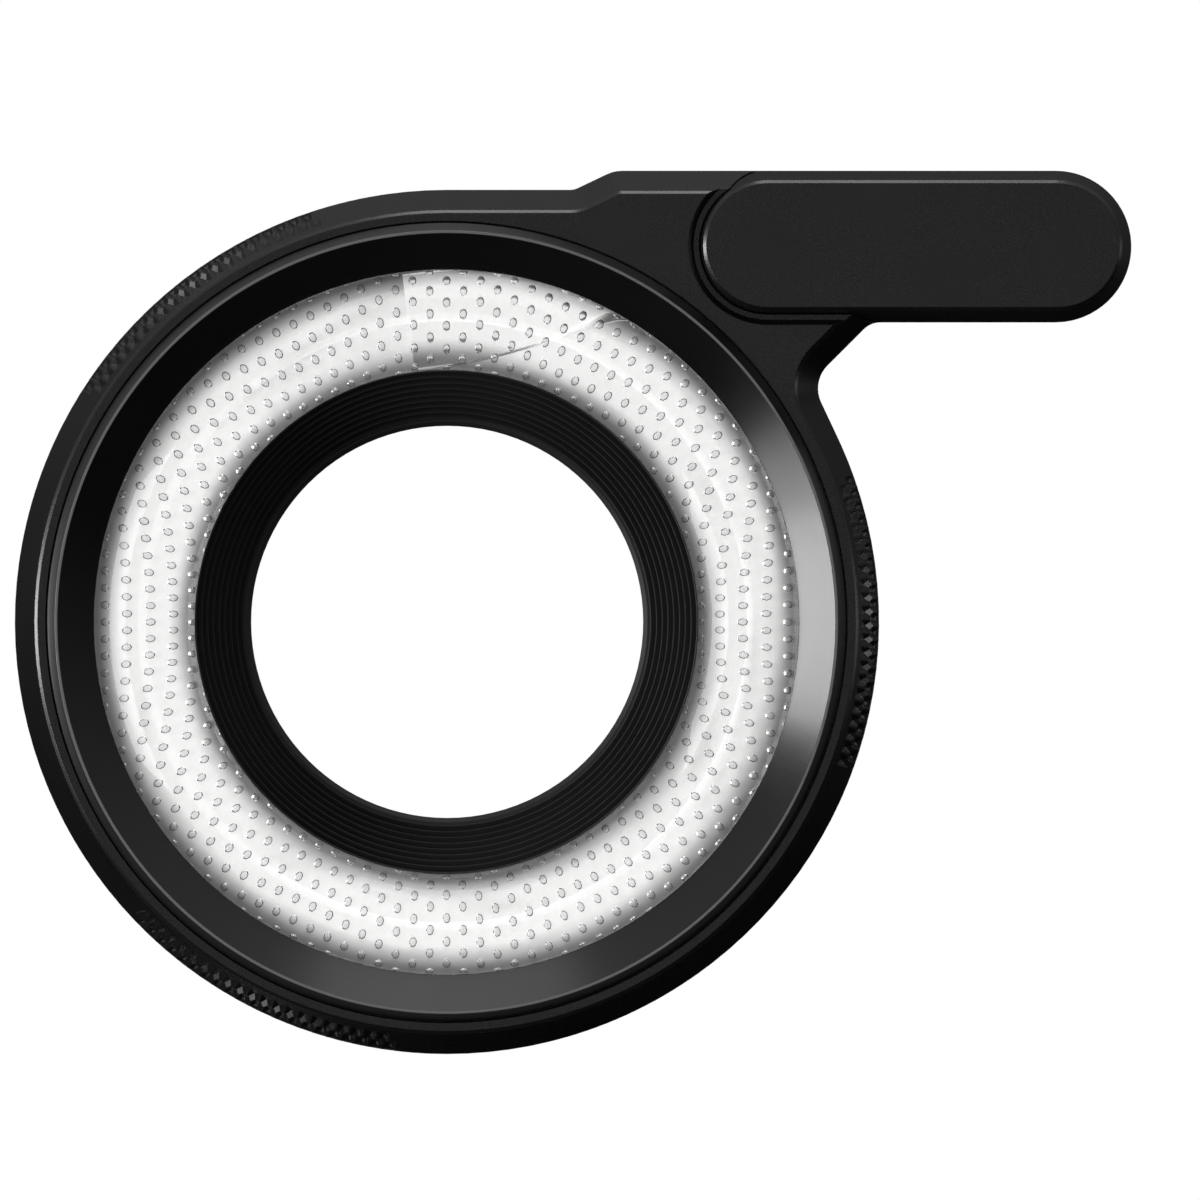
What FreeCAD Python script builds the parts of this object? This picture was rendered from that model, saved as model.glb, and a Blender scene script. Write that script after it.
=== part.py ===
"""LED light guide: a passive ring adapter for the front of a compact camera.

It turns onto the bayonet round the lens. The pod at the end of its arm covers the camera's own
lamp, a prism in the pod turns that light into the arm, and a domed clear ring spreads it round
the lens. Nothing on it is powered, and nothing on it moves.

Frame: millimetres, X to the right, Z up, the front faces -Y. The origin is on the optical axis,
in the plane of the rear face that seats on the camera. The pieces are drawn lying on their back,
with x and y in the plane of the rear face and the height above it as z, and are then stood up.
"""
import FreeCAD
import Part

import math
import os

V = FreeCAD.Vector
ORIGIN = V(0, 0, 0)
FRONTWARDS = V(0, 0, 1)

# Outline of the body, seen from the front
ring_radius = 24.0
tangent_angle = 25.2
pod_left = 17.80
pod_right = 33.80
pod_drop = 3.15
pod_level = ring_radius - pod_drop
pod_radius = 4.21
ramp_start = 7.06
ramp_angle = 25.5
web_angle = 45.0
web_offset = 6.90
ramp_foot_round = 1.0
ramp_top_round = 2.0
armpit_round = 1.8
web_round = 1.3

# Heights above the rear seat
part_line = 1.2
face_height = 6.5
pod_height = face_height + 0.90
crest_height = face_height + 0.55
funnel_foot = face_height - 0.60
wall_draft = 1.22
pod_draft = 0.62
rear_edge = 0.45
front_edge = 0.14
pod_edge = 0.16

# Walls and clearances
shell_wall = 1.3
pod_wall = 0.9
running_gap = 0.05
seat_gap = 0.10
groove_gap = 0.09

# Trim ring with its funnel
face_width = 1.90
crest_inset = 0.57
crest_width = 0.14
funnel_width = 2.00
ledge_width = 1.50
bezel_radius = ring_radius - face_width
crest_radius = bezel_radius - crest_inset
funnel_radius = crest_radius - funnel_width
ledge_radius = bezel_radius - ledge_width
bezel_seat = 4.6
ledge_bottom = 3.7
hook_angles = (145.0, 265.0, 350.0)
hook_span = 8.0
hook_inset = 0.15
hook_side_gap = 0.5
hook_wall = 0.55
hook_bottom = 3.1
hook_catch = 0.30

# Moat round the inner end of the pod
moat_width = 0.05
moat_depth = 0.75
moat_draft = 0.12
moat_edge = 0.15
moat_radius = pod_radius + moat_width
moat_floor = face_height - moat_depth

# Clear light guide
guide_width = 5.48
guide_outer = funnel_radius - running_gap
guide_inner = guide_outer - guide_width
guide_back = 3.9
dome_foot = 5.4
dome_top = 7.0
flange_top = 4.5
flange_reach = 0.61
arm_width = 3.8
arm_bottom = 2.4
arm_top = 4.4
prism_size = 4.2
prism_width = 4.4
prism_bottom = 1.45
prism_taper = 4.0

# White reflector tray under the guide
tray_wall = 0.35
tray_floor = 0.7
tray_step = 0.48
tray_inner = guide_inner - tray_step

# Ribbed baffle
rib_count = 9
rib_pitch = 0.319
rib_rise = 0.456
rib_lean = 0.14
lip_land = 0.13
aperture_land = 0.099
aperture_lip = 0.22
aperture_top = 1.30
aperture_rear = -1.0
rib_top_radius = guide_inner - lip_land
aperture_radius = rib_top_radius - rib_count * rib_pitch - aperture_land
tube_wall = 0.95
tube_flange = 0.90
baffle_tube = aperture_radius + tube_wall
baffle_flange = baffle_tube + tube_flange
baffle_lip_top = 5.25
baffle_skin = 0.80
baffle_flange_top = 2.3

# Rear housing
seat_width = 4.8
recess_radius = ring_radius - seat_width
recess_depth = 0.9
floor_thickness = 1.0
rim_wall = 0.9
rim_height = 0.6
support_wall = 0.8

# Bayonet
lug_inset = 1.0
lug_reach = 1.4
spigot_wall = 1.3
lug_radius = recess_radius - lug_inset
spigot_outer = lug_radius - lug_reach
spigot_inner = spigot_outer - spigot_wall
flange_inner = baffle_flange + running_gap + seat_gap
spigot_length = 2.6
lug_thickness = 1.1
lug_count = 3
lug_span = 46.0
lug_start = 67.0
notch_width = 1.6
notch_depth = 0.7

# Screws
bayonet_screw_circle = (flange_inner + spigot_inner) / 2
bayonet_screw_angles = (30.0, 150.0, 270.0)
bayonet_screw_length = 2.1
housing_screw_circle = ledge_radius + shell_wall
housing_screw_angles = (95.0, 190.0, 300.0)
housing_screw_length = 3.4
pod_screw_inset = 2.2
pod_end_screw_inset = 2.15
screw_radius = 0.7
head_radius = 1.15
head_depth = 0.55
boss_wall = 0.65
thread_gap = 0.02

# Light intake behind the pod
lamp_x = 31.20
window_radius = 2.0
window_rim = 0.45
window_step = 0.5
gasket_land = 0.45
gasket_width = 0.55
gasket_depth = 0.5
facet_backing = 0.4

# Knurled grips on the drafted wall
grip_centres = (-0.5, 127.0, 242.6)
grip_ribs = 21
ribs_per_turn = 192
grip_depth = 0.26
grip_front = 5.9
grip_middle = 3.3


def rotated(point, angle):
    """The point turned about the axis by an angle in degrees."""
    turn = math.radians(angle)
    return V(point.x * math.cos(turn) - point.y * math.sin(turn),
             point.x * math.sin(turn) + point.y * math.cos(turn), point.z)


def on_circle(radius, angle, height=0.0):
    return rotated(V(radius, 0, height), angle)


def tube(inner, outer, bottom, top):
    """A plain ring between two radii and two heights."""
    ring = Part.makeCylinder(outer, top - bottom, V(0, 0, bottom))
    return ring.cut(Part.makeCylinder(inner, top - bottom, V(0, 0, bottom)))


def revolved(profile):
    """A solid of revolution from (radius, height) corners."""
    corners = [V(radius, 0, height) for radius, height in profile]
    face = Part.Face(Part.makePolygon(corners + corners[:1]))
    return face.revolve(ORIGIN, FRONTWARDS, 360)


def box_between(x0, x1, y0, y1, z0, z1):
    return Part.makeBox(x1 - x0, y1 - y0, z1 - z0, V(x0, y0, z0))


def sector(radius, start, span, bottom, top):
    """A wedge of a disc, from a start angle through a span of degrees."""
    return Part.makeCylinder(radius, top - bottom, V(0, 0, bottom), FRONTWARDS, span).rotate(
        ORIGIN, FRONTWARDS, start)


def capsule(radius, height):
    """The closed wire of the pod's outline at a given radius and height."""
    left = V(pod_left, pod_level, height)
    right = V(pod_right, pod_level, height)
    up = V(0, radius, 0)
    out = V(radius, 0, 0)
    return Part.Wire([
        Part.LineSegment(left - up, right - up).toShape(),
        Part.Arc(right - up, right + out, right + up).toShape(),
        Part.LineSegment(right + up, left + up).toShape(),
        Part.Arc(left + up, left - out, left - up).toShape(),
    ])


def capsule_solid(*levels):
    """A capsule whose radius changes evenly between (radius, height) levels."""
    return Part.makeLoft([capsule(radius, height) for radius, height in levels], True, True)


def crossing(point, angle, other, other_angle):
    """Where two lines cross, each given by a point and a direction in degrees."""
    a = math.radians(angle)
    b = math.radians(other_angle)
    gap = other - point
    span = math.cos(a) * math.sin(b) - math.sin(a) * math.cos(b)
    reach = (gap.x * math.sin(b) - gap.y * math.cos(b)) / span
    return V(point.x + reach * math.cos(a), point.y + reach * math.sin(a), point.z)


def outline(inset, height):
    """The body's outline, moved inwards by an inset, as a closed wire.

    It runs anticlockwise from the foot of the tangent wall, along the arm, round the pod and
    back over the ramp to the ring's top, and then round the ring.
    """
    ring = ring_radius - inset
    end = pod_radius - inset
    inward = math.radians(web_angle + 90)
    slope = math.radians(ramp_angle)
    foot = on_circle(ring, tangent_angle, height)
    web_line = V(web_offset + inset * math.cos(inward), inset * math.sin(inward), height)
    arm_top_line = V(pod_right, pod_level + end, height)
    arm_bottom_line = V(pod_right, pod_level - end, height)
    ramp_line = V(ramp_start + inset * math.sin(slope), ring_radius - inset * math.cos(slope), height)
    ring_top = V(0, ring, height)

    armpit = crossing(foot, tangent_angle + 90, web_line, web_angle)
    web_end = crossing(web_line, web_angle, arm_bottom_line, 0)
    ramp_top = crossing(arm_top_line, 0, ramp_line, ramp_angle)
    ramp_foot = crossing(ramp_line, ramp_angle, ring_top, 0)

    corners = [
        (armpit, armpit_round + inset),
        (web_end, web_round + inset),
        (arm_bottom_line, 0),
        (arm_top_line, 0),
        (ramp_top, max(ramp_top_round - inset, front_edge)),
        (ramp_foot, ramp_foot_round + inset),
        (ring_top, 0),
    ]
    edges = []
    last = foot
    for index, (corner, rounding) in enumerate(corners):
        if corner is arm_top_line:
            tip = V(pod_right + end, pod_level, height)
            edges.append(Part.Arc(last, tip, corner).toShape())
            last = corner
            continue
        if rounding == 0:
            edges.append(Part.LineSegment(last, corner).toShape())
            last = corner
            continue
        onward = corners[index + 1][0]
        before = (last - corner).normalize()
        after = (onward - corner).normalize()
        half = before.getAngle(after) / 2
        start = corner + before * (rounding / math.tan(half))
        finish = corner + after * (rounding / math.tan(half))
        middle = (before + after).normalize()
        centre = corner + middle * (rounding / math.sin(half))
        edges.append(Part.LineSegment(last, start).toShape())
        edges.append(Part.Arc(start, centre - middle * rounding, finish).toShape())
        last = finish
    edges.append(Part.Arc(ring_top, on_circle(ring, 180, height), on_circle(ring, 270, height)).toShape())
    edges.append(Part.Arc(on_circle(ring, 270, height), on_circle(ring, 325, height), foot).toShape())
    return Part.Wire(edges)


def drafted(*levels):
    """A solid whose outline moves in and out evenly between (inset, height) levels."""
    return Part.makeLoft([outline(inset, height) for inset, height in levels], True, True)


def wall_inset(height):
    """How far the drafted outer wall has moved inwards at a height."""
    return wall_draft * (height - part_line) / (face_height - part_line)


def pod_radius_at(height):
    return pod_radius - pod_draft * (height - part_line) / (pod_height - part_line)


# The guide's arm leaves the ring along a tangent of its middle circle
guide_middle = (guide_inner + guide_outer) / 2
lamp = V(lamp_x, pod_level, 0)
arm_length = math.sqrt(lamp.Length ** 2 - guide_middle ** 2)
arm_turn = math.degrees(math.atan2(lamp.y, lamp.x) - math.atan2(guide_middle, arm_length))


def along_arm(shape):
    """Puts a shape drawn along X, with x = 0 where the arm leaves the ring, in its place."""
    shape.translate(V(0, guide_middle, 0))
    return shape.rotate(ORIGIN, FRONTWARDS, arm_turn)


def section(x, half_width, bottom, top):
    """An upright rectangle across the arm, as a closed wire."""
    corners = [V(x, -half_width, bottom), V(x, half_width, bottom),
               V(x, half_width, top), V(x, -half_width, top)]
    return Part.makePolygon(corners + corners[:1])


def arm_solid(grow=0.0, start=0.0):
    """The arm and its prism, made larger by a clearance where they pass through other pieces."""
    prism_left = arm_length - prism_size / 2
    prism_right = prism_left + prism_size
    taper_left = prism_left - prism_taper
    half = arm_width / 2 + grow
    strip = box_between(start, taper_left, -half, half, arm_bottom - grow, arm_top + grow)
    prism_top = prism_bottom + prism_size
    half_prism = prism_width / 2 + grow
    taper = Part.makeLoft([
        section(taper_left, half, arm_bottom - grow, arm_top + grow),
        section(prism_left, half_prism, prism_bottom - grow, prism_top + grow),
    ], True, True)
    corners = [
        V(prism_left, -half_prism, prism_bottom - grow),
        V(prism_right + grow, -half_prism, prism_bottom - grow),
        V(prism_right + grow, -half_prism, prism_bottom + grow),
        V(prism_left + grow, -half_prism, prism_top + grow),
        V(prism_left, -half_prism, prism_top + grow),
    ]
    if grow == 0:
        corners = [corners[0], corners[1], corners[4]]
    prism = Part.Face(Part.makePolygon(corners + corners[:1])).extrude(V(0, 2 * half_prism, 0))
    return along_arm(strip.fuse([taper, prism]).removeSplitter())


def body_screw_places():
    """Where the screws that hold the front housing stand."""
    return [on_circle(housing_screw_circle, angle) for angle in housing_screw_angles]


def pod_screw_places():
    """Where the screws that hold the pod stand, above the arm at one end and past the prism."""
    wall_side = pod_level + pod_radius - pod_wall - screw_radius - boss_wall
    return [V(pod_left + pod_screw_inset, wall_side, 0), V(pod_right + pod_end_screw_inset, pod_level, 0)]


def screw(place, rear, length):
    """A countersunk screw whose head is flush with a rear height."""
    head = Part.makeCone(head_radius, screw_radius, head_depth, V(place.x, place.y, rear))
    shank = Part.makeCylinder(screw_radius, length, V(place.x, place.y, rear))
    return head.fuse(shank).removeSplitter()


def screw_hole(place, rear, length):
    """The countersunk hole that such a screw passes through or bites into."""
    radius = screw_radius + thread_gap
    head = Part.makeCone(head_radius + thread_gap, radius, head_depth, V(place.x, place.y, rear))
    return head.fuse(Part.makeCylinder(radius, length + seat_gap, V(place.x, place.y, rear)))


def boss(place, bottom, top):
    return Part.makeCylinder(screw_radius + boss_wall, top - bottom, V(place.x, place.y, bottom))


def knurl_cut(angle, low, high, deepest):
    """A V groove down the drafted wall, deepest at one height and run out at both ends."""
    half_pitch = 180.0 / ribs_per_turn
    lift = 0.05
    feet = []
    for height in (low, high):
        radius = ring_radius - wall_inset(height) + lift
        feet += [on_circle(radius / math.cos(math.radians(half_pitch)), angle - half_pitch, height),
                 on_circle(radius / math.cos(math.radians(half_pitch)), angle + half_pitch, height)]
    root = on_circle(ring_radius - wall_inset(deepest) - grip_depth, angle, deepest)
    low_left, low_right, high_left, high_right = feet
    faces = [
        [low_left, low_right, high_right, high_left],
        [low_left, high_left, root],
        [low_right, root, high_right],
        [low_left, root, low_right],
        [high_left, high_right, root],
    ]
    shells = [Part.Face(Part.makePolygon(face + face[:1])) for face in faces]
    return Part.Solid(Part.Shell(shells))


def grip_cuts():
    """Two staggered rows of grooves in each grip, long ones in front and short ones behind."""
    step = 360.0 / ribs_per_turn
    cuts = []
    for centre in grip_centres:
        first = centre - step * (grip_ribs - 1) / 2
        for index in range(grip_ribs):
            angle = first + index * step
            cuts.append(knurl_cut(angle, grip_middle - 0.8, grip_front, grip_middle + 0.5))
            cuts.append(knurl_cut(angle + step / 2, part_line - 0.4, grip_middle + 0.6, part_line + 0.5))
    return cuts


def make_front_housing():
    edge_start = face_height - front_edge
    body = drafted((0, part_line), (wall_inset(edge_start), edge_start),
                   (wall_draft + front_edge, face_height))
    body = body.cut(capsule_solid((pod_radius + running_gap, part_line),
                                  (pod_radius_at(face_height) + running_gap, face_height)))
    moat = capsule_solid((moat_radius - moat_draft, moat_floor), (moat_radius, face_height - moat_edge),
                         (moat_radius + 2 * moat_edge, face_height + moat_edge))
    beyond_pod = box_between(pod_right, ring_radius + pod_right, 0, ring_radius * 2, 0, face_height + 1)
    body = body.cut(moat).cut(beyond_pod)
    body = body.cut(Part.makeCylinder(ledge_radius, face_height, V(0, 0, part_line)))
    body = body.cut(Part.makeCylinder(bezel_radius + groove_gap, face_height, V(0, 0, bezel_seat)))
    rim_outer = ledge_radius + shell_wall + seat_gap
    under = Part.makeCylinder(rim_outer, ledge_bottom - part_line, V(0, 0, part_line))

    roof = face_height - shell_wall
    inside = drafted((shell_wall, part_line), (shell_wall + wall_inset(roof), roof))
    wall_round_bezel = Part.makeCylinder(bezel_radius + groove_gap + shell_wall, face_height)
    inside = inside.cut(wall_round_bezel)
    guard = capsule_solid((pod_radius + shell_wall, part_line),
                          (pod_radius_at(face_height) + shell_wall, face_height))
    low_guard = guard.common(box_between(0, ring_radius * 2, 0, ring_radius * 2, moat_floor - shell_wall,
                                         face_height))
    posts = [boss(place, part_line, ledge_bottom) for place in body_screw_places()]
    body = body.cut(under.cut(posts)).cut(inside.cut([low_guard] + posts))
    body = body.cut(arm_solid(grow=seat_gap))
    for place in body_screw_places():
        body = body.cut(screw_hole(place, 0, housing_screw_length))
    slots = []
    for angle in hook_angles:
        inner = ledge_radius + hook_inset - seat_gap
        cut = tube(inner, inner + hook_wall + hook_catch + 2 * seat_gap, ledge_bottom - 1, bezel_seat)
        span = hook_span + 2 * hook_side_gap
        slots.append(cut.common(sector(ring_radius, angle - span / 2, span, 0, face_height)))
    body = body.cut(slots)
    return body.cut(grip_cuts()).removeSplitter()


def make_pod_cover():
    edge_start = pod_height - pod_edge
    body = capsule_solid((pod_radius, part_line), (pod_radius_at(edge_start), edge_start),
                         (pod_radius_at(pod_height) - pod_edge, pod_height))
    roof = pod_height - pod_wall
    hollow = capsule_solid((pod_radius - pod_wall, part_line), (pod_radius_at(roof) - pod_wall, roof))
    for place in pod_screw_places():
        hollow = hollow.cut(boss(place, part_line, roof))
    body = body.cut(hollow).cut(arm_solid(grow=seat_gap))
    for place in pod_screw_places():
        body = body.cut(screw_hole(place, 0, housing_screw_length))
    return body


def make_bezel_ring():
    ring = revolved([
        (funnel_radius, bezel_seat),
        (bezel_radius, bezel_seat),
        (bezel_radius, face_height),
        (crest_radius + crest_width, crest_height),
        (crest_radius, crest_height),
        (funnel_radius, funnel_foot),
    ])
    hook_inner = ledge_radius + hook_inset
    hook_outer = hook_inner + hook_wall
    for angle in hook_angles:
        leg = tube(hook_inner, hook_outer, hook_bottom, bezel_seat)
        catch = revolved([
            (hook_outer, hook_bottom),
            (hook_outer + hook_catch, ledge_bottom - running_gap),
            (hook_outer, ledge_bottom - running_gap),
        ])
        hook = leg.fuse(catch).common(sector(ring_radius, angle - hook_span / 2, hook_span, 0, face_height))
        ring = ring.fuse(hook)
    return ring.removeSplitter()


def make_light_guide():
    inner_foot = V(guide_inner, 0, dome_foot)
    outer_foot = V(guide_outer, 0, dome_foot)
    top = V(guide_middle, 0, dome_top)
    flange_outer = guide_outer + flange_reach
    corners = [
        outer_foot,
        V(guide_outer, 0, flange_top),
        V(flange_outer, 0, flange_top),
        V(flange_outer, 0, guide_back),
        V(guide_inner, 0, guide_back),
        inner_foot,
    ]
    profile = [Part.Arc(inner_foot, top, outer_foot).toShape()] + Part.makePolygon(corners).Edges
    ring = Part.Face(Part.Wire(profile)).revolve(ORIGIN, FRONTWARDS, 360)
    arm = arm_solid()
    arm = arm.cut(Part.makeCylinder(guide_inner, face_height))
    return ring.fuse(arm).removeSplitter()


def make_reflector_tray():
    floor_top = guide_back - running_gap
    floor_bottom = floor_top - tray_floor
    wall_inner = guide_outer + flange_reach + running_gap
    tray = revolved([
        (tray_inner, floor_bottom),
        (wall_inner + tray_wall, floor_bottom),
        (wall_inner + tray_wall, flange_top),
        (wall_inner, flange_top),
        (wall_inner, floor_top),
        (tray_inner, floor_top),
    ])
    outer = wall_inner + tray_wall
    channel = arm_solid(grow=seat_gap + tray_wall).common(tube(tray_inner, outer, part_line, floor_top))
    return tray.fuse(channel).cut(arm_solid(grow=seat_gap)).removeSplitter()


def make_prism_reflector():
    """A white plate behind the prism's sloping face, with a foot on the rear housing."""
    prism_left = arm_length - prism_size / 2
    prism_right = prism_left + prism_size
    prism_top = prism_bottom + prism_size
    half = prism_width / 2
    gap = running_gap * math.sqrt(2)
    back = facet_backing * math.sqrt(2)
    foot = part_line + running_gap
    corners = [
        V(prism_right + gap, -half, foot),
        V(prism_right + gap + back, -half, foot),
        V(prism_right + gap + back, -half, prism_bottom),
        V(prism_left + gap + back / 2, -half, prism_top + back / 2),
        V(prism_left + gap, -half, prism_top),
        V(prism_right + gap, -half, prism_bottom),
    ]
    plate = Part.Face(Part.makePolygon(corners + corners[:1])).extrude(V(0, 2 * half, 0))
    return along_arm(plate)


def make_baffle_ring():
    """The stepped funnel round the lens opening, its steps leaning to catch stray light."""
    stairs = []
    for index in range(rib_count):
        radius = rib_top_radius - index * rib_pitch
        height = baffle_lip_top - index * rib_rise
        stairs.append((radius, height))
        stairs.append((radius, height - rib_rise - rib_lean))
    lip = aperture_radius + aperture_lip
    profile = stairs[:-1] + [
        (stairs[-1][0], aperture_top),
        (lip, aperture_top),
        (aperture_radius, aperture_top - aperture_lip),
        (aperture_radius, aperture_rear),
        (baffle_tube, aperture_rear),
        (baffle_tube, recess_depth + floor_thickness),
        (baffle_flange, recess_depth + floor_thickness),
        (baffle_flange, baffle_flange_top),
        (tray_inner - seat_gap, guide_back - tray_floor),
        (tray_inner - seat_gap, guide_back),
        (guide_inner - running_gap, guide_back + baffle_skin / 2),
        (guide_inner - running_gap, baffle_lip_top),
    ]
    return revolved(profile)


def make_rear_housing():
    plate = drafted((rear_edge, 0), (0, rear_edge), (0, part_line))
    floor_top = recess_depth + floor_thickness
    plate = plate.fuse(Part.makeCylinder(recess_radius + floor_thickness, floor_top))
    plate = plate.cut(Part.makeCylinder(recess_radius, recess_depth))
    plate = plate.cut(Part.makeCylinder(baffle_tube + running_gap, floor_top))

    rim_outer = ledge_radius + shell_wall
    rim = tube(rim_outer - rim_wall, rim_outer, part_line - running_gap, part_line + rim_height)
    support_top = guide_back - running_gap - tray_floor
    support_inner = guide_middle - support_wall / 2
    support = tube(support_inner, support_inner + support_wall, floor_top - running_gap, support_top)
    plate = plate.fuse([rim, support])
    for angle in bayonet_screw_angles:
        plate = plate.fuse(boss(on_circle(bayonet_screw_circle, angle), recess_depth, baffle_flange_top))
    plate = plate.cut(arm_solid(grow=seat_gap * 2 + tray_wall, start=-arm_width))

    for angle in bayonet_screw_angles:
        plate = plate.cut(screw_hole(on_circle(bayonet_screw_circle, angle), 0, bayonet_screw_length))
    for place in body_screw_places() + pod_screw_places():
        around = Part.makeCylinder(screw_radius + boss_wall + seat_gap, face_height,
                                   V(place.x, place.y, part_line))
        plate = plate.cut(around).cut(screw_hole(place, 0, housing_screw_length))

    return plate.cut([window_shape(running_gap), gasket_shape(running_gap)]).removeSplitter()


def window_shape(grow=0.0, rear=0.0):
    """The stepped round window under the prism."""
    lower = Part.makeCylinder(window_radius + grow, part_line - rear, lamp + V(0, 0, rear))
    upper = Part.makeCylinder(window_radius + window_rim + grow, part_line - window_step + grow,
                              lamp + V(0, 0, window_step - grow))
    return lower.fuse(upper)


def make_intake_window():
    return window_shape(rear=seat_gap).removeSplitter()


def gasket_shape(grow=0.0):
    """The foam ring round the window, pressed flush with the seat in its groove."""
    inner = window_radius + window_rim + gasket_land
    ring = tube(inner - grow, inner + gasket_width + grow, 0, gasket_depth + grow)
    ring.translate(lamp)
    return ring


def make_intake_gasket():
    return gasket_shape()


def make_bayonet_ring():
    """The three-lug ring that turns into the camera's mount, with a notch for the lock pin."""
    rear = running_gap
    ring = tube(flange_inner, recess_radius - seat_gap, rear, recess_depth)
    ring = ring.fuse(tube(spigot_inner, spigot_outer, -spigot_length, recess_depth))
    chamfer = (lug_radius - spigot_outer) / 4
    lug_ring = revolved([
        (spigot_inner, -spigot_length),
        (lug_radius - chamfer, -spigot_length),
        (lug_radius, chamfer - spigot_length),
        (lug_radius, lug_thickness - spigot_length),
        (spigot_inner, lug_thickness - spigot_length),
    ])
    for index in range(lug_count):
        start = lug_start + index * 360.0 / lug_count
        ring = ring.fuse(lug_ring.common(sector(ring_radius, start, lug_span, -spigot_length, 0)))
    notch = box_between(lug_radius - notch_depth, ring_radius, -notch_width / 2, notch_width / 2,
                        -spigot_length, lug_thickness - spigot_length)
    ring = ring.cut(notch.rotate(ORIGIN, FRONTWARDS, lug_start + lug_span / 2))
    for angle in bayonet_screw_angles:
        ring = ring.cut(screw_hole(on_circle(bayonet_screw_circle, angle), rear, bayonet_screw_length))
    return ring.removeSplitter()


def make_bayonet_screws():
    rear = running_gap
    return Part.makeCompound([screw(on_circle(bayonet_screw_circle, angle), rear, bayonet_screw_length)
                              for angle in bayonet_screw_angles])


def make_housing_screws():
    places = body_screw_places() + pod_screw_places()
    return Part.makeCompound([screw(place, 0, housing_screw_length) for place in places])


NODES = {
    "front_housing": make_front_housing,
    "pod_cover": make_pod_cover,
    "bezel_ring": make_bezel_ring,
    "light_guide": make_light_guide,
    "reflector_tray": make_reflector_tray,
    "prism_reflector": make_prism_reflector,
    "baffle_ring": make_baffle_ring,
    "rear_housing": make_rear_housing,
    "bayonet_ring": make_bayonet_ring,
    "bayonet_screws": make_bayonet_screws,
    "housing_screws": make_housing_screws,
    "intake_window": make_intake_window,
    "intake_gasket": make_intake_gasket,
}

os.makedirs("parts", exist_ok=True)
for name, make in NODES.items():
    shape = make()
    shape.rotate(ORIGIN, V(1, 0, 0), 90)
    shape.exportStep("parts/" + name + ".step")
    print(name, "solids", len(shape.Solids), "valid", shape.isValid(), "volume", round(shape.Volume, 2))
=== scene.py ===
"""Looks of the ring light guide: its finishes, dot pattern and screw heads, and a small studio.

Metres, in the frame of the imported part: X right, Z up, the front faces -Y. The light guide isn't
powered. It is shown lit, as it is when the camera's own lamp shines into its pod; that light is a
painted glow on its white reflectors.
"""
import math

import bmesh
import bpy
from mathutils import Matrix, Vector


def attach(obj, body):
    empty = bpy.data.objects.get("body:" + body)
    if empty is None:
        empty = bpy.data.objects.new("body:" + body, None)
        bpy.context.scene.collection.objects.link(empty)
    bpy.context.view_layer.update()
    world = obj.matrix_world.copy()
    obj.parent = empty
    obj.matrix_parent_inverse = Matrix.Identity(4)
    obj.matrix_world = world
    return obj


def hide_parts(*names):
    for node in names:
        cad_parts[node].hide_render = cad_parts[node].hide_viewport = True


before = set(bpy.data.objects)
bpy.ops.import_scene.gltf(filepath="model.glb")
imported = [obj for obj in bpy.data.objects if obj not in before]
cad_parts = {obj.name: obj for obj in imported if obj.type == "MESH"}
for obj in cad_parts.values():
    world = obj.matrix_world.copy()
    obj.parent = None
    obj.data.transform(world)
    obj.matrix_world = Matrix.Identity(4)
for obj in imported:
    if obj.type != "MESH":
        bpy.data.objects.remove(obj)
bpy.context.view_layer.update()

bl_info = {
    "name": "Ring light guide",
    "version": (1, 0, 0),
    "blender": (4, 5, 0),
    "location": "3D View > Sidebar > Light guide",
    "description": "Finishes the ring light guide and sets up its studio",
    "category": "Object",
}

MM = 0.001
TINY = 1e-7
BACK_OF_GUIDE = 3.9 * MM
CHANNEL_DEPTH = 1.5 * MM
MIDDLE_CIRCLE = 16.74 * MM
CREST_CIRCLE = 21.60 * MM
PICTURE_CENTRE = (8.5 * MM, 1.22 * MM)
GRIP_ANGLES = (0.0, 127.0, 243.0)
BACK_NODES = ("rear_housing", "bayonet_ring", "intake_window", "intake_gasket")
BLACK_NODES = ("front_housing", "bezel_ring", "baffle_ring", "pod_cover") + BACK_NODES
CROSSED = ("bayonet_screws_crossed", "housing_screws_crossed")


class Signal:
    """A value in a shader tree that takes part in arithmetic like a number."""

    def __init__(self, shader, socket):
        self.shader = shader
        self.socket = socket

    def _maths(self, operation, *values):
        return Signal(self.shader, self.shader.node(
            "ShaderNodeMath", {"operation": operation}, dict(enumerate(values))).outputs[0])

    def __add__(self, other):
        return self._maths("ADD", self, other)

    def __radd__(self, other):
        return self._maths("ADD", other, self)

    def __sub__(self, other):
        return self._maths("SUBTRACT", self, other)

    def __rsub__(self, other):
        return self._maths("SUBTRACT", other, self)

    def __mul__(self, other):
        return self._maths("MULTIPLY", self, other)

    def __rmul__(self, other):
        return self._maths("MULTIPLY", other, self)

    def __truediv__(self, other):
        return self._maths("DIVIDE", self, other)

    def __abs__(self):
        return self._maths("ABSOLUTE", self)

    def root(self):
        return self._maths("SQRT", self)

    def rise(self, start, end):
        """0 before the start and 1 past the end, smooth in between."""
        node = self.shader.node("ShaderNodeMapRange", {"interpolation_type": "SMOOTHSTEP"},
                                {"Value": self, "From Min": start, "From Max": end})
        return Signal(self.shader, node.outputs["Result"])


def distance(first, second):
    """How far a point is from an axis, from its two coordinates across it."""
    return (first * first + second * second).root()


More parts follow.
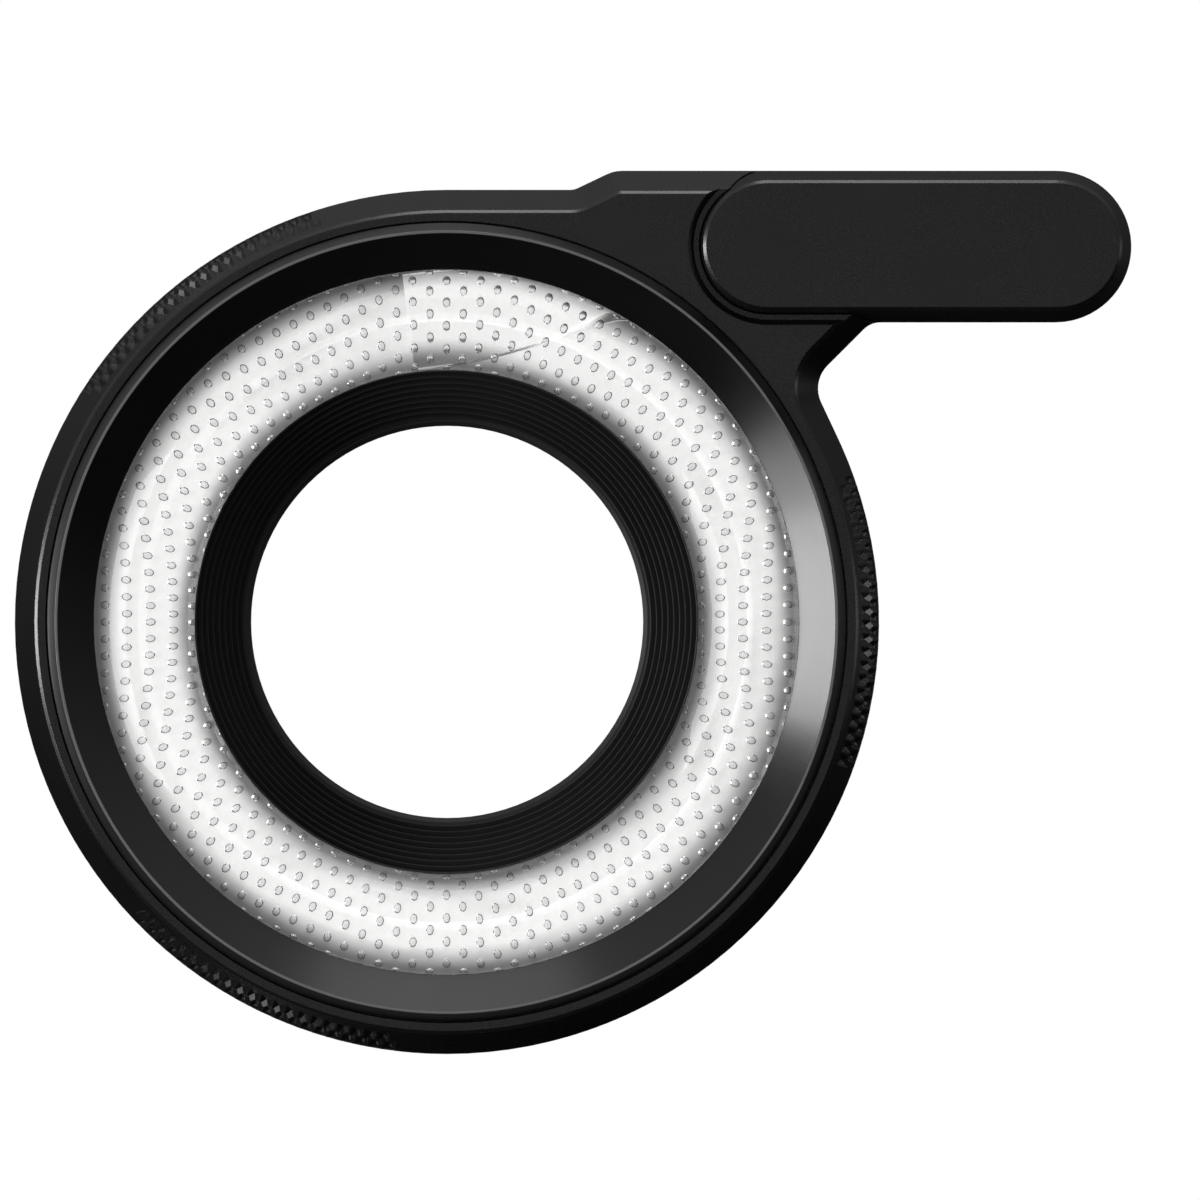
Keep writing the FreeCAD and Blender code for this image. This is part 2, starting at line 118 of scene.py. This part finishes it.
class Shader:
    """The nodes of one material or world, filled from empty."""

    def __init__(self, owner):
        owner.use_nodes = True
        self.tree = owner.node_tree
        self.tree.nodes.clear()

    def node(self, kind, settings=None, sockets=None):
        """Adds a node: its settings first, then the values or links of its sockets."""
        node = self.tree.nodes.new(kind)
        for name, value in (settings or {}).items():
            setattr(node, name, value)
        for name, value in (sockets or {}).items():
            if isinstance(value, Signal):
                value = value.socket
            if isinstance(value, bpy.types.NodeSocket):
                self.tree.links.new(value, node.inputs[name])
            else:
                node.inputs[name].default_value = value
        return node

    def axes(self, output="Object"):
        """The three coordinates of a point."""
        place = self.node("ShaderNodeTexCoord").outputs[output]
        split = self.node("ShaderNodeSeparateXYZ", sockets={"Vector": place})
        return [Signal(self, split.outputs[name]) for name in "XYZ"]

    def noise(self, scale, detail=2.0):
        place = self.node("ShaderNodeTexCoord").outputs["Object"]
        node = self.node("ShaderNodeTexNoise", sockets={
            "Vector": place, "Scale": scale, "Detail": detail})
        return Signal(self, node.outputs["Fac"])

    def ring_noise(self, x, z, scale):
        """Noise in bands that run round the ring: quick changes outwards, slow ones round it."""
        radius = distance(x, z)
        place = self.node("ShaderNodeCombineXYZ", sockets={
            "X": x / radius, "Y": radius * scale, "Z": z / radius})
        node = self.node("ShaderNodeTexNoise", sockets={
            "Vector": place.outputs["Vector"], "Scale": 1.6, "Detail": 2.0})
        return Signal(self, node.outputs["Fac"])

    def between(self, factor, first, second):
        """A colour that lies between two colours."""
        colours = [item if isinstance(item, bpy.types.NodeSocket) else (*item, 1.0)
                   for item in (first, second)]
        node = self.node("ShaderNodeMix", {"data_type": "RGBA"},
                         {"Factor": factor, "A": colours[0], "B": colours[1]})
        return node.outputs["Result"]

    def bump(self, height, strength, depth, edge=0.0):
        """A bumped normal, on edges that are rounded by a radius."""
        sockets = {"Height": height, "Strength": strength, "Distance": depth}
        if edge:
            rounded = self.node("ShaderNodeBevel", {"samples": 6}, {"Radius": edge})
            sockets["Normal"] = rounded.outputs["Normal"]
        return self.node("ShaderNodeBump", sockets=sockets).outputs["Normal"]

    def surface(self, **sockets):
        """The principled surface, linked to the output."""
        names = {name.replace("_", " "): value for name, value in sockets.items()}
        node = self.node("ShaderNodeBsdfPrincipled", sockets=names)
        self.node("ShaderNodeOutputMaterial", sockets={"Surface": node.outputs["BSDF"]})
        return node


def moulded(name, dark, light, rough, grain, grain_size=0.11 * MM, edge=0.07 * MM, crest=None):
    """Moulded plastic: a fine spark-eroded grain, and gloss that drifts a little from place to place.

    A ring can be polished inside its crest and satin outside it, with a painted highlight that makes
    the crest itself paler.
    """
    material = bpy.data.materials.new(name)
    shader = Shader(material)
    drift = shader.noise(180.0, detail=3.0)
    fine = shader.noise(1.0 / grain_size)
    base = rough
    tone = shader.between(drift, dark, light)
    if crest:
        x, _, z = shader.axes()
        outwards = distance(x, z) - crest
        base = rough + (0.34 - rough) * outwards.rise(0.06 * MM, 0.16 * MM)
        # Painted highlight: a paler base colour on a thin circle at the crest.
        tone = shader.between(abs(outwards).rise(0.10 * MM, 0.05 * MM), tone, (0.11, 0.11, 0.11))
    shader.surface(
        Base_Color=tone,
        Roughness=(drift - 0.5) * 0.10 + (fine - 0.5) * 0.06 + base,
        Normal=shader.bump(fine, grain, 0.012 * MM, edge))
    return material


def clear(name, index, tint=(1.0, 1.0, 1.0)):
    """Polished acrylic, or the air inside it, with faint polishing marks."""
    material = bpy.data.materials.new(name)
    shader = Shader(material)
    drift = shader.noise(140.0)
    shader.surface(
        Base_Color=shader.between(drift, tuple(0.985 * part for part in tint), tint),
        Roughness=drift * 0.02 + 0.015,
        IOR=index,
        Transmission_Weight=1.0)
    return material


def painted_glow_white(name, glow):
    """White reflector plastic with a painted glow that stands in for light through the guide:
    brightest under the middle of the clear ring, with painted shade towards its rims in both glow and
    colour.

    The deeper floor of the arm's channel has a narrower, brighter band of painted glow, so that both
    look alike from the front, and the walls of the channel get a little painted glow.
    """
    material = bpy.data.materials.new(name)
    shader = Shader(material)
    x, y, z = shader.axes()
    behind = y + BACK_OF_GUIDE
    deep = behind.rise(0.07 * MM, CHANNEL_DEPTH)
    off = abs(distance(x, z) - MIDDLE_CIRCLE - 0.24 * MM * deep) * (1.0 + 0.42 * deep)
    # Painted glow mask: full under the middle of the ring, painted shade towards both rims.
    middle = 0.06 + 0.94 * off.rise(1.9 * MM, 0.7 * MM)
    # A little painted glow on the walls of the channel.
    channel_wall_glow = abs(behind - 0.80 * MM).rise(0.74 * MM, 0.66 * MM)
    middle = middle + (1.0 - middle) * 0.5 * channel_wall_glow
    # Painted streaks of light that run round the ring.
    painted_streaks = (0.38 + 1.24 * shader.ring_noise(x, z, 500.0)) * (1.0 + 0.25 * deep)
    shader.surface(
        # Colour and emission both carry the painted glow and its painted shade at the rims.
        Base_Color=shader.between(middle, (0.34, 0.34, 0.34), (0.71, 0.71, 0.70)),
        Roughness=0.55 + 0.1 * shader.noise(260.0),
        Emission_Color=shader.between(middle * painted_streaks, (0.0, 0.0, 0.0), (1.0, 1.0, 0.995)),
        Emission_Strength=glow)
    return material


def plated(name):
    """Black-plated steel with turning marks and a tone that drifts a little from place to place."""
    material = bpy.data.materials.new(name)
    shader = Shader(material)
    drift = shader.noise(900.0, detail=4.0)
    shader.surface(
        Base_Color=shader.between(drift, (0.075, 0.075, 0.083), (0.135, 0.135, 0.142)),
        Roughness=0.24 + 0.16 * drift,
        Metallic=1.0,
        Normal=shader.bump(shader.noise(6000.0), 0.12, 0.01 * MM))
    return material


def foam(name):
    """Closed-cell foam rubber with its open pores."""
    material = bpy.data.materials.new(name)
    shader = Shader(material)
    cells = shader.noise(4200.0, detail=4.0)
    shader.surface(
        Base_Color=shader.between(cells, (0.014, 0.014, 0.015), (0.034, 0.034, 0.035)),
        Roughness=0.82 + 0.12 * cells,
        Normal=shader.bump(cells, 0.7, 0.05 * MM))
    return material


def dress(nodes, material):
    """Gives CAD nodes a finish."""
    for name in nodes:
        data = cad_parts[name].data
        data.materials.clear()
        data.materials.append(material)


def mesh_of(name, tool):
    """A mesh made from a bmesh, with its corners and faces in the same order in every run."""
    corners = sorted(tool.verts, key=lambda vertex: tuple(round(part, 9) for part in vertex.co))
    place = {vertex: index for index, vertex in enumerate(corners)}
    faces = []
    for face in tool.faces:
        loop = [place[vertex] for vertex in face.verts]
        first = loop.index(min(loop))
        faces.append(loop[first:] + loop[:first])
    data = bpy.data.meshes.new(name)
    data.from_pydata([vertex.co for vertex in corners], [], sorted(faces))
    tool.free()
    return data


def finished(name, tool, material, smooth=True):
    """Turns a bmesh into a piece that rides on the part."""
    data = mesh_of(name, tool)
    data.polygons.foreach_set("use_smooth", [smooth] * len(data.polygons))
    data.materials.append(material)
    piece = bpy.data.objects.new(name, data)
    bpy.context.scene.collection.objects.link(piece)
    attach(piece, "root")
    return piece


def length(name, description, millimetres):
    return bpy.props.FloatProperty(name=name, description=description, default=millimetres * MM,
                                   unit="LENGTH", precision=5)


def colour(name, description, default):
    return bpy.props.FloatVectorProperty(name=name, description=description, default=default,
                                         subtype="COLOR", size=3, min=0.0, max=1.0)


def power(name, description, watts):
    return bpy.props.FloatProperty(name=name, description=description, default=watts, unit="POWER")


class LightGuideFinish(bpy.types.PropertyGroup):
    housing: colour("Housing", "Colour of the satin black mouldings", (0.0042, 0.0042, 0.0046))
    trim: colour("Trim ring", "Colour of the smooth trim ring", (0.0040, 0.0040, 0.0045))
    baffle: colour("Baffle", "Colour of the ribbed baffle", (0.0060, 0.0060, 0.0065))
    bayonet: colour("Bayonet", "Colour of the filled bayonet plastic", (0.022, 0.022, 0.023))
    # The glow is painted light: emission on the white reflectors.
    glow: bpy.props.FloatProperty(
        name="Glow", description="How strongly the white reflector is lit", default=0.70, min=0.0)


class LightGuideDots(bpy.types.PropertyGroup):
    pitch: length("Pitch", "Distance between neighbouring dots", 0.917)
    radius: length("Radius", "Radius of one dot", 0.23)
    half_depth: length("Half depth", "Half of a dot's depth", 0.20)
    lift: length("Lift", "Middle of the dots in front of the guide's flat back", 0.24)
    edge: length("Edge", "Plain margin at the guide's two rims", 0.24)
    inner: length("Inner radius", "Inner radius of the clear ring", 14.00)
    outer: length("Outer radius", "Outer radius of the clear ring", 19.48)


class LightGuideScrews(bpy.types.PropertyGroup):
    head: length("Head radius", "Radius of the countersunk head", 1.15)
    shank: length("Shank radius", "Radius of the shank", 0.70)
    head_depth: length("Head depth", "Depth of the countersunk head", 0.55)
    slot_width: length("Slot width", "Width of the cross recess", 0.30)
    slot_reach: length("Slot reach", "Half the length of the cross recess", 0.62)
    slot_depth: length("Slot depth", "Depth of the cross recess", 0.34)


class LightGuideStudio(bpy.types.PropertyGroup):
    distance: length("Distance", "From the camera to the rear seat", 1500.0)
    width: length("Width", "What the picture shows at the rear seat", 66.7)
    floor_level: length("Floor level", "Height of the floor", -36.0)
    floor_radius: length("Floor radius", "Where the floor has faded to white", 52.0)
    side_power: power("Side lamp", "Power of the soft lamp at the left", 1.45)
    guide_power: power("Guide lamp", "Power of the wide lamp that lights only the clear guide", 1.4)
    top_power: power("Top lamp", "Power of the soft lamp above", 0.26)
    edge_power: power("Edge lamps", "Power of the lamps level with the faces", 0.65)
    front_power: power("Front lamp", "Power of the small lamp near the camera", 0.024)
    grip_power: power("Grip lamps", "Power of the lamps behind the grips", 0.032)
    back_key_power: power("Back key lamp", "Power of the lamp behind and above", 3.0)
    back_fill_power: power("Back fill lamp", "Power of the wide lamp behind", 0.42)


class LIGHTGUIDE_OT_housings(bpy.types.Operator):
    """Finish the three satin black housing mouldings"""
    bl_idname = "lightguide.housings"
    bl_label = "Housings"

    def execute(self, context):
        black = Vector(context.scene.light_guide_finish.housing)
        dress(("front_housing", "pod_cover", "rear_housing"),
              moulded("satin_black", tuple(black * 0.85), tuple(black * 1.2), 0.27, grain=0.30))
        return {"FINISHED"}


class LIGHTGUIDE_OT_trim_ring(bpy.types.Operator):
    """Finish the smooth trim ring with its sloping funnel"""
    bl_idname = "lightguide.trim_ring"
    bl_label = "Trim ring"

    def execute(self, context):
        black = Vector(context.scene.light_guide_finish.trim)
        # The crest circle gets a painted highlight in its colour.
        dress(("bezel_ring",),
              moulded("smooth_black", tuple(black * 0.9), tuple(black * 1.15), 0.20, grain=0.05,
                      edge=0.05 * MM, crest=CREST_CIRCLE))
        return {"FINISHED"}


class LIGHTGUIDE_OT_guide(bpy.types.Operator):
    """Finish the clear guide and the clear window"""
    bl_idname = "lightguide.guide"
    bl_label = "Clear guide"

    def execute(self, context):
        dress(("light_guide", "intake_window"), clear("clear_acrylic", 1.49))
        return {"FINISHED"}


class LIGHTGUIDE_OT_dots(bpy.types.Operator):
    """Add the pattern of small hollows at the guide's flat back"""
    bl_idname = "lightguide.dots"
    bl_label = "Dot pattern"

    def execute(self, context):
        values = context.scene.light_guide_dots
        dot = bmesh.new()
        bmesh.ops.create_uvsphere(dot, u_segments=8, v_segments=5, radius=values.radius,
                                  matrix=Matrix.Rotation(math.pi / 2, 4, "X"))
        bmesh.ops.scale(dot, vec=(1.0, values.half_depth / values.radius, 1.0), verts=dot.verts)
        bmesh.ops.recalc_face_normals(dot, faces=dot.faces)
        single = mesh_of("dot", dot)

        pattern = bmesh.new()
        last = Vector((0.0, 0.0, 0.0))
        level = -(BACK_OF_GUIDE + values.lift)
        steps = int(values.outer / values.pitch) + 1
        for column in range(-steps, steps + 1):
            for row in range(-steps - 1, steps + 1):
                x = column * values.pitch
                z = (row + 0.5 * (column % 2)) * values.pitch
                if values.inner + values.edge < math.hypot(x, z) < values.outer - values.edge:
                    place = Vector((x, level, z))
                    single.transform(Matrix.Translation(place - last))
                    pattern.from_mesh(single)
                    last = place
        bpy.data.meshes.remove(single)
        # The hollows' grey tint is painted shade that makes the dots look darker.
        finished("dot_pattern", pattern,
                 clear("hollow_dots", 0.80, (0.86, 0.87, 0.87)))
        return {"FINISHED"}


class LIGHTGUIDE_OT_reflectors(bpy.types.Operator):
    """Finish the white tray and the white plate behind the prism, with a painted glow"""
    bl_idname = "lightguide.reflectors"
    bl_label = "Reflectors"

    def execute(self, context):
        dress(("reflector_tray", "prism_reflector"),
              painted_glow_white("painted_glow_white", context.scene.light_guide_finish.glow))
        return {"FINISHED"}


class LIGHTGUIDE_OT_baffle(bpy.types.Operator):
    """Finish the dead matt ribbed baffle"""
    bl_idname = "lightguide.baffle"
    bl_label = "Baffle"

    def execute(self, context):
        black = Vector(context.scene.light_guide_finish.baffle)
        dress(("baffle_ring",),
              moulded("matt_black", tuple(black * 0.85), tuple(black * 1.2), 0.58, grain=0.25))
        return {"FINISHED"}


class LIGHTGUIDE_OT_bayonet(bpy.types.Operator):
    """Finish the glass-filled bayonet ring"""
    bl_idname = "lightguide.bayonet"
    bl_label = "Bayonet"

    def execute(self, context):
        black = Vector(context.scene.light_guide_finish.bayonet)
        dress(("bayonet_ring",),
              moulded("filled_black", tuple(black * 0.8), tuple(black * 1.3), 0.46, grain=0.5,
                      grain_size=0.2 * MM))
        return {"FINISHED"}


class LIGHTGUIDE_OT_gasket(bpy.types.Operator):
    """Finish the foam ring round the window"""
    bl_idname = "lightguide.gasket"
    bl_label = "Gasket"

    def execute(self, context):
        dress(("intake_gasket",), foam("foam_rubber"))
        return {"FINISHED"}


def solids_of(node):
    """The box of each separate solid in a CAD node."""
    tool = bmesh.new()
    tool.from_mesh(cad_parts[node].data)
    bmesh.ops.remove_doubles(tool, verts=tool.verts, dist=0.002 * MM)
    left = set(tool.verts)
    boxes = []
    while left:
        group = [left.pop()]
        points = []
        while group:
            vertex = group.pop()
            points.append(vertex.co.copy())
            for edge in vertex.link_edges:
                other = edge.other_vert(vertex)
                if other in left:
                    left.discard(other)
                    group.append(other)
        low = Vector([min(point[axis] for point in points) for axis in range(3)])
        high = Vector([max(point[axis] for point in points) for axis in range(3)])
        boxes.append((low, high))
    tool.free()
    return sorted(boxes, key=lambda box: tuple(box[0]))


def lies_flat(face):
    """Whether a face lies in the plane of the screw head's face."""
    return all(abs(vertex.co.y) < TINY for vertex in face.verts)


def screw_shape(values, depth):
    """A countersunk screw with a cross recess, its head's face at the origin and its tip at -Y."""
    tool = bmesh.new()
    turned = Matrix.Rotation(math.pi / 2, 4, "X")
    bmesh.ops.create_circle(tool, cap_ends=True, segments=32, radius=values.head, matrix=turned)
    face = tool.faces[:][0]
    cap_edges = list(face.edges)
    for radius, level in ((values.shank, values.head_depth), (values.shank, depth)):
        made = bmesh.ops.extrude_edge_only(tool, edges=cap_edges)["geom"]
        rim = [item for item in made if isinstance(item, bmesh.types.BMVert)]
        for vertex in rim:
            spoke = Vector((vertex.co.x, 0.0, vertex.co.z)).normalized() * radius
            vertex.co = Vector((spoke.x, -level, spoke.z))
        cap_edges = [item for item in made if isinstance(item, bmesh.types.BMEdge)
                     and all(vertex in rim for vertex in item.verts)]
    bmesh.ops.contextual_create(tool, geom=cap_edges)

    half = values.slot_width / 2
    for axis in ((1.0, 0.0, 0.0), (0.0, 0.0, 1.0)):
        for offset in (-values.slot_reach, -half, half, values.slot_reach):
            flat = [item for item in tool.faces if lies_flat(item)]
            parts = flat + list({edge for item in flat for edge in item.edges})
            parts += list({vertex for item in flat for vertex in item.verts})
            bmesh.ops.bisect_plane(tool, geom=parts, dist=TINY,
                                   plane_co=Vector(axis) * offset, plane_no=axis)
    cross = []
    for item in tool.faces:
        middle = item.calc_center_median()
        across = min(abs(middle.x), abs(middle.z))
        along = max(abs(middle.x), abs(middle.z))
        if lies_flat(item) and across < half and along < values.slot_reach:
            cross.append(item)
    made = bmesh.ops.extrude_face_region(tool, geom=cross)["geom"]
    bmesh.ops.delete(tool, geom=cross, context="FACES_ONLY")
    floor = [item for item in made if isinstance(item, bmesh.types.BMVert)]
    bmesh.ops.scale(tool, vec=(0.72, 1.0, 0.72), verts=floor)
    bmesh.ops.translate(tool, vec=(0.0, -values.slot_depth, 0.0), verts=floor)
    bmesh.ops.recalc_face_normals(tool, faces=tool.faces)
    return tool


class LIGHTGUIDE_OT_screws(bpy.types.Operator):
    """Replace the plain screws by screws with a cross recess"""
    bl_idname = "lightguide.screws"
    bl_label = "Screws"

    def execute(self, context):
        values = context.scene.light_guide_screws
        steel = plated("plated_steel")
        for node in ("bayonet_screws", "housing_screws"):
            group = bmesh.new()
            for index, (low, high) in enumerate(solids_of(node)):
                tool = screw_shape(values, high.y - low.y)
                turned = Matrix.Rotation(0.7 * index + 0.2, 3, "Y")
                bmesh.ops.rotate(tool, cent=(0, 0, 0), matrix=turned, verts=tool.verts)
                middle = (low + high) / 2
                bmesh.ops.translate(tool, vec=(middle.x, high.y, middle.z), verts=tool.verts)
                single = mesh_of("screw", tool)
                group.from_mesh(single)
                bpy.data.meshes.remove(single)
            piece = finished(node + "_crossed", group, steel, smooth=False)
            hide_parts(node)
        return {"FINISHED"}


def soft_lamp(name, place, size, power):
    """A rectangular soft lamp that faces the part."""
    lamp = bpy.data.lights.new(name, "AREA")
    lamp.shape = "RECTANGLE"
    lamp.size = size[0]
    lamp.size_y = size[1]
    lamp.energy = power
    holder = bpy.data.objects.new(name, lamp)
    holder.location = place
    holder.rotation_euler = (-Vector(place)).to_track_quat("-Z", "Y").to_euler()
    holder.visible_camera = False
    bpy.context.scene.collection.objects.link(holder)
    return holder


def light_only(name, nodes, added, lamps):
    """Lets lamps light only some CAD nodes and some pieces that were added to them."""
    group = bpy.data.collections.new(name)
    for node in nodes:
        group.objects.link(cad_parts[node])
    for piece in added:
        group.objects.link(bpy.data.objects[piece])
    for holder in lamps:
        holder.light_linking.receiver_collection = group


def studio_world():
    """White for the camera. For gloss and bounces, a room that is pale above and dark below.

    It is a little lighter in front and darker behind, with a pale band just behind the part.
    """
    world = bpy.data.worlds.new("studio")
    shader = Shader(world)
    path = shader.node("ShaderNodeLightPath")
    camera = Signal(shader, path.outputs["Is Camera Ray"])
    _, depth, up = shader.axes("Generated")
    front = 0.135 * (0.0 - depth).rise(0.5, 1.0)
    rim = 0.22 * abs(depth - 0.24).rise(0.18, 0.05)
    behind = 1.0 - 0.80 * depth.rise(0.1, 0.9)
    above = 0.10 * up.rise(0.25, 0.60) * depth.rise(0.70, 0.90)
    room = (0.60 * up.rise(-0.3, 1.0) + front + 0.015) * behind + rim + above
    back = shader.node("ShaderNodeBackground", sockets={
        "Color": (1.0, 1.0, 1.0, 1.0), "Strength": camera + (1.0 - camera) * room})
    shader.node("ShaderNodeOutputWorld", sockets={"Surface": back.outputs[0]})
    return world


def studio_floor(radius, level):
    """A pale matt disc that turns plain white towards its rim."""
    tool = bmesh.new()
    bmesh.ops.create_circle(tool, cap_ends=True, segments=128, radius=radius,
                            matrix=Matrix.Translation((0.0, 0.0, level)))
    data = bpy.data.meshes.new("floor")
    tool.to_mesh(data)
    tool.free()
    material = bpy.data.materials.new("studio_floor")
    shader = Shader(material)
    matt = shader.node("ShaderNodeBsdfDiffuse", sockets={
        "Color": shader.between(shader.noise(40.0), (0.84, 0.84, 0.84), (0.86, 0.86, 0.86))})
    plain = shader.node("ShaderNodeEmission", sockets={"Color": (1.0, 1.0, 1.0, 1.0)})
    x, y, _ = shader.axes()
    away = distance(x, y).rise(radius * 0.45, radius * 0.97)
    seen = Signal(shader, shader.node("ShaderNodeLightPath").outputs["Is Camera Ray"])
    white = seen * (0.68 + 0.32 * away)
    mix = shader.node("ShaderNodeMixShader", sockets={
        0: white, 1: matt.outputs[0], 2: plain.outputs[0]})
    shader.node("ShaderNodeOutputMaterial", sockets={"Surface": mix.outputs[0]})
    data.materials.append(material)
    floor = bpy.data.objects.new("floor", data)
    floor.visible_glossy = False
    floor.visible_shadow = False
    bpy.context.scene.collection.objects.link(floor)


def studio_lamps(values):
    """The soft lamps. Those that would draw hard arcs on the guide's clear dome don't light it."""
    left = (-0.40, -0.232, 0.0)
    hard = [
        soft_lamp("side_lamp", left, (0.16, 0.22), values.side_power),
        soft_lamp("low_side_lamp", (-0.36, -0.220, -0.14), (0.12, 0.10), values.side_power * 0.16),
    ]
    wide = soft_lamp("guide_lamp", left, (0.34, 0.40), values.guide_power)
    soft_lamp("top_lamp", (0.0, -0.240, 0.41), (0.30, 0.20), values.top_power)
    soft_lamp("front_lamp", (PICTURE_CENTRE[0], -0.80, 0.0), (0.06, 0.06), values.front_power)
    edges = (((-0.414, -0.073, 0.0), 1.0), ((0.0, -0.073, 0.414), 0.30), ((0.414, -0.073, 0.0), 0.08))
    for place, share in edges:
        hard.append(soft_lamp("edge_lamp", place, (0.10, 0.10), values.edge_power * share))
    away = 0.45
    lean = math.radians(50.0)
    for turn in GRIP_ANGLES:
        aside = away * math.sin(lean)
        place = (aside * math.cos(math.radians(turn)), away * math.cos(lean),
                 aside * math.sin(math.radians(turn)))
        soft_lamp("grip_lamp", place, (0.06, 0.06), values.grip_power)
    behind = [
        soft_lamp("back_key_lamp", (-0.22, 0.34, 0.30), (0.22, 0.22), values.back_key_power),
        soft_lamp("back_fill_lamp", (0.0, 0.60, 0.0), (0.60, 0.60), values.back_fill_power),
    ]
    light_only("back_pieces", BACK_NODES, CROSSED, behind)
    light_only("black_pieces", BLACK_NODES, CROSSED, hard)
    light_only("clear_pieces", ("light_guide",), ("dot_pattern",), [wide])


def studio_camera(distance_away, width):
    """A camera square on to the front, far away, that shows a given width at the rear seat."""
    camera = bpy.data.cameras.new("camera")
    camera.sensor_width = 36.0
    camera.lens = camera.sensor_width * distance_away / width
    camera.clip_start = 0.01
    holder = bpy.data.objects.new("camera", camera)
    holder.location = (PICTURE_CENTRE[0], -distance_away, PICTURE_CENTRE[1])
    holder.rotation_euler = (math.pi / 2, 0.0, 0.0)
    bpy.context.scene.collection.objects.link(holder)
    return holder


class LIGHTGUIDE_OT_studio(bpy.types.Operator):
    """Set up the floor, the lamps, the world and the camera"""
    bl_idname = "lightguide.studio"
    bl_label = "Studio"

    def execute(self, context):
        scene = context.scene
        values = scene.light_guide_studio
        studio_floor(values.floor_radius, values.floor_level)
        studio_lamps(values)
        scene.world = studio_world()
        scene.camera = studio_camera(values.distance, values.width)
        scene.view_settings.view_transform = "Standard"
        return {"FINISHED"}


STEPS = (
    LIGHTGUIDE_OT_housings,
    LIGHTGUIDE_OT_trim_ring,
    LIGHTGUIDE_OT_guide,
    LIGHTGUIDE_OT_dots,
    LIGHTGUIDE_OT_reflectors,
    LIGHTGUIDE_OT_baffle,
    LIGHTGUIDE_OT_bayonet,
    LIGHTGUIDE_OT_gasket,
    LIGHTGUIDE_OT_screws,
    LIGHTGUIDE_OT_studio,
)
GROUPS = {
    "light_guide_finish": LightGuideFinish,
    "light_guide_dots": LightGuideDots,
    "light_guide_screws": LightGuideScrews,
    "light_guide_studio": LightGuideStudio,
}


class LIGHTGUIDE_PT_panel(bpy.types.Panel):
    """Lists the sizes, colours and steps of the ring light guide"""
    bl_idname = "LIGHTGUIDE_PT_panel"
    bl_label = "Ring light guide"
    bl_space_type = "VIEW_3D"
    bl_region_type = "UI"
    bl_category = "Light guide"

    def draw(self, context):
        for attribute, group in GROUPS.items():
            box = self.layout.box()
            for name in group.__annotations__:
                box.prop(getattr(context.scene, attribute), name)
        for step in STEPS:
            self.layout.operator(step.bl_idname)


def register():
    for group in GROUPS.values():
        bpy.utils.register_class(group)
    for attribute, group in GROUPS.items():
        setattr(bpy.types.Scene, attribute, bpy.props.PointerProperty(type=group))
    for step in STEPS:
        bpy.utils.register_class(step)
    bpy.utils.register_class(LIGHTGUIDE_PT_panel)


def unregister():
    bpy.utils.unregister_class(LIGHTGUIDE_PT_panel)
    for step in reversed(STEPS):
        bpy.utils.unregister_class(step)
    for attribute in GROUPS:
        delattr(bpy.types.Scene, attribute)
    for group in reversed(list(GROUPS.values())):
        bpy.utils.unregister_class(group)


def main():
    register()
    bpy.ops.lightguide.housings()
    bpy.ops.lightguide.trim_ring()
    bpy.ops.lightguide.guide()
    bpy.ops.lightguide.dots()
    bpy.ops.lightguide.reflectors()
    bpy.ops.lightguide.baffle()
    bpy.ops.lightguide.bayonet()
    bpy.ops.lightguide.gasket()
    bpy.ops.lightguide.screws()
    bpy.ops.lightguide.studio()


if __name__ == "__main__":
    main()
